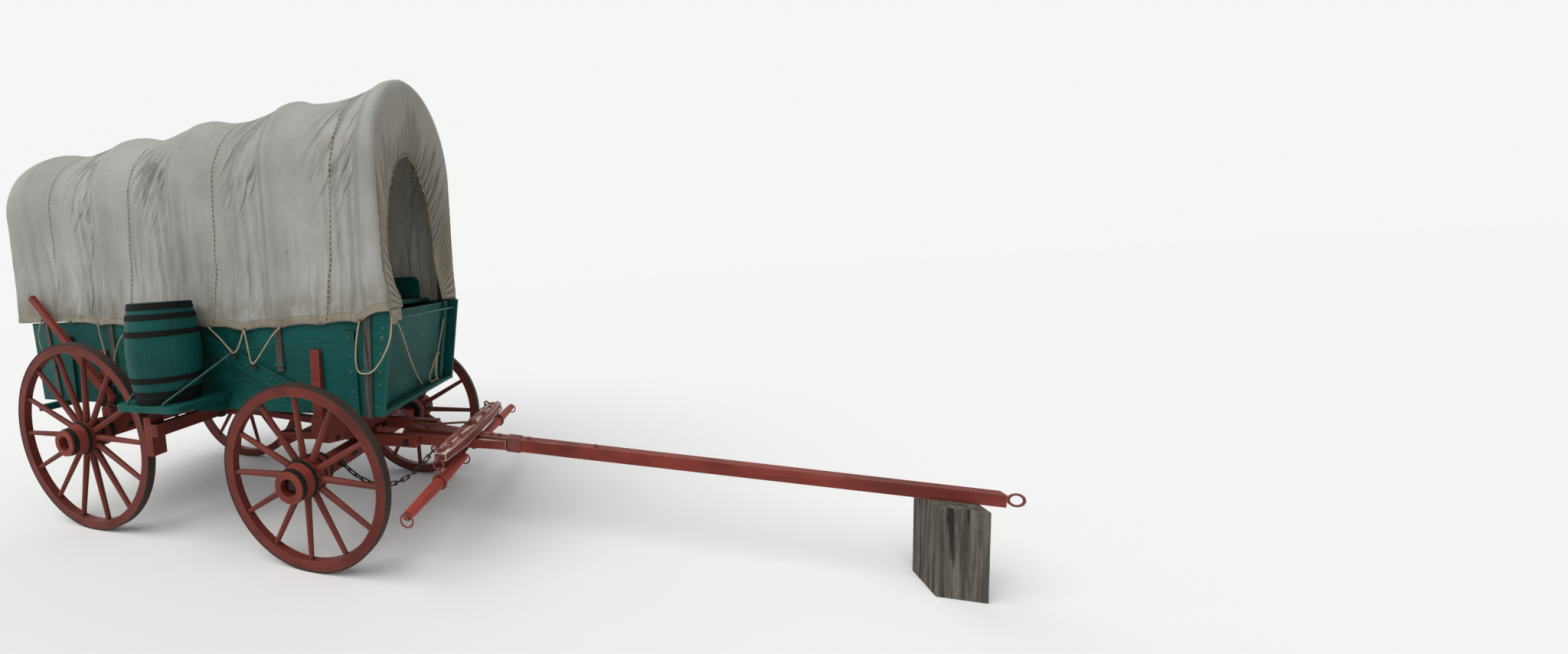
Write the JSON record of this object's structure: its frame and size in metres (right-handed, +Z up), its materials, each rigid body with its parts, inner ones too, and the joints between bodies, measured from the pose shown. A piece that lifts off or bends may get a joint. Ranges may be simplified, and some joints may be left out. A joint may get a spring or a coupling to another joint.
{
  "type": "covered wagon",
  "caption": "Farm wagon with a high board box, canvas cover on bent bows, wooden spoked wheels, side barrel on a shelf, hand brake, and a tongue with swinging bars on a post.",
  "frame": {"origin": "on the ground, under the middle of the whole wagon with its tongue", "axes": "+X forward along the tongue, +Y to the wagon's left, +Z up"},
  "size_m": [6.3499, 2, 2.914],
  "materials": {
    "green_paint": "worn painted boards",
    "red_paint": "worn painted timber",
    "bare_wood": "bare worn boards",
    "weathered_bow": "weathered bent wood",
    "post_wood": "weathered, cracked",
    "brake_block": "worn bare wood",
    "canvas": "cotton duck, matte",
    "dark_iron": "black, rusting",
    "painted_iron": "painted over",
    "tyre_iron": "worn dark brown"
  },
  "bodies": {
    "wagon": {"box_floor": "bare_wood", "box_side_right": "green_paint", "box_side_left": "green_paint", "front_endgate": "green_paint", "rear_endgate": "green_paint", "box_rods": "painted_iron", "box_sills": "red_paint", "bows": "weathered_bow", "bow_staples": "painted_iron", "cover": "canvas", "seat": "green_paint", "barrel": "green_paint", "barrel_hoops": "dark_iron", "barrel_shelf": "green_paint", "rear_axle": "red_paint", "rear_axle_arms": "dark_iron", "rear_bolster": "red_paint", "reach": "red_paint", "front_bolster": "red_paint", "king_bolt": "dark_iron", "brake_brackets": "dark_iron", "tongue_post": "post_wood"},
    "front_gear": {"sand_board": "red_paint", "front_axle": "red_paint", "front_gear_irons": "dark_iron", "front_hounds": "red_paint", "stay_chains": "dark_iron"},
    "tongue": {"tongue_pole": "red_paint", "tongue_irons": "dark_iron"},
    "doubletree": {"doubletree": "red_paint", "doubletree_irons": "dark_iron"},
    "singletree_right": {"singletree_right": "red_paint", "singletree_irons_right": "dark_iron"},
    "singletree_left": {"singletree_left": "red_paint", "singletree_irons_left": "dark_iron"},
    "brake_lever": {"brake_lever": "red_paint", "lever_iron": "dark_iron"},
    "brake_beam": {"brake_beam": "red_paint", "brake_shoes": "brake_block", "brake_rod": "dark_iron"},
    "wheel_front_right": {"wheel_front_right": "red_paint", "hub_front_right": "red_paint", "tyre_front_right": "tyre_iron"},
    "wheel_front_left": {"wheel_front_left": "red_paint", "hub_front_left": "red_paint", "tyre_front_left": "tyre_iron"},
    "wheel_rear_right": {"wheel_rear_right": "red_paint", "hub_rear_right": "red_paint", "tyre_rear_right": "tyre_iron"},
    "wheel_rear_left": {"wheel_rear_left": "red_paint", "hub_rear_left": "red_paint", "tyre_rear_left": "tyre_iron"}
  },
  "joints": [
    {"name": "front_gear_turn", "type": "hinge", "parent": "wagon", "child": "front_gear", "pos_m": [-0.305, 0, 0.65], "axis": [0, 0, 1], "range_deg": [-12, 12]},
    {"name": "tongue_lift", "type": "hinge", "parent": "front_gear", "child": "tongue", "pos_m": [0.08, 0, 0.607], "axis": [0, -1, 0], "range_deg": [0, 40], "deforming": ["stay_chains"]},
    {"name": "doubletree_swing", "type": "hinge", "parent": "tongue", "child": "doubletree", "pos_m": [0.472, 0, 0.65625], "axis": [0, 0, 1], "range_deg": [-10, 10], "deforming": ["stay_chains"]},
    {"name": "singletree_right_swing", "type": "hinge", "parent": "doubletree", "child": "singletree_right", "pos_m": [0.472, -0.585, 0.67025], "axis": [0, 0, 1], "range_deg": [-8, 8]},
    {"name": "singletree_left_swing", "type": "hinge", "parent": "doubletree", "child": "singletree_left", "pos_m": [0.472, 0.585, 0.67025], "axis": [0, 0, 1], "range_deg": [-8, 8]},
    {"name": "wheel_front_right_turn", "type": "hinge", "parent": "front_gear", "child": "wheel_front_right", "pos_m": [-0.305, -0.765, 0.55866], "axis": [0, 0.9994, 0.0349], "continuous": true},
    {"name": "wheel_front_left_turn", "type": "hinge", "parent": "front_gear", "child": "wheel_front_left", "pos_m": [-0.305, 0.765, 0.55866], "axis": [0, 0.9994, -0.0349], "continuous": true},
    {"name": "wheel_rear_right_turn", "type": "hinge", "parent": "wagon", "child": "wheel_rear_right", "pos_m": [-2.205, -0.765, 0.68258], "axis": [0, 0.9994, 0.0349], "continuous": true},
    {"name": "wheel_rear_left_turn", "type": "hinge", "parent": "wagon", "child": "wheel_rear_left", "pos_m": [-2.205, 0.765, 0.68258], "axis": [0, 0.9994, -0.0349], "continuous": true},
    {"name": "brake_lever_swing", "type": "hinge", "parent": "wagon", "child": "brake_lever", "pos_m": [-2.141, -0.61, 0.972], "axis": [0, 1, 0], "range_deg": [0, 11.3]},
    {"name": "brake_beam_slide", "type": "slide", "parent": "wagon", "child": "brake_beam", "axis": [-1, 0, 0], "range_m": [0, 0.015]}
  ],
  "couplings": [
    {"joint": "brake_beam_slide", "follows": "brake_lever_swing", "m_per_rad": 0.075}
  ]
}
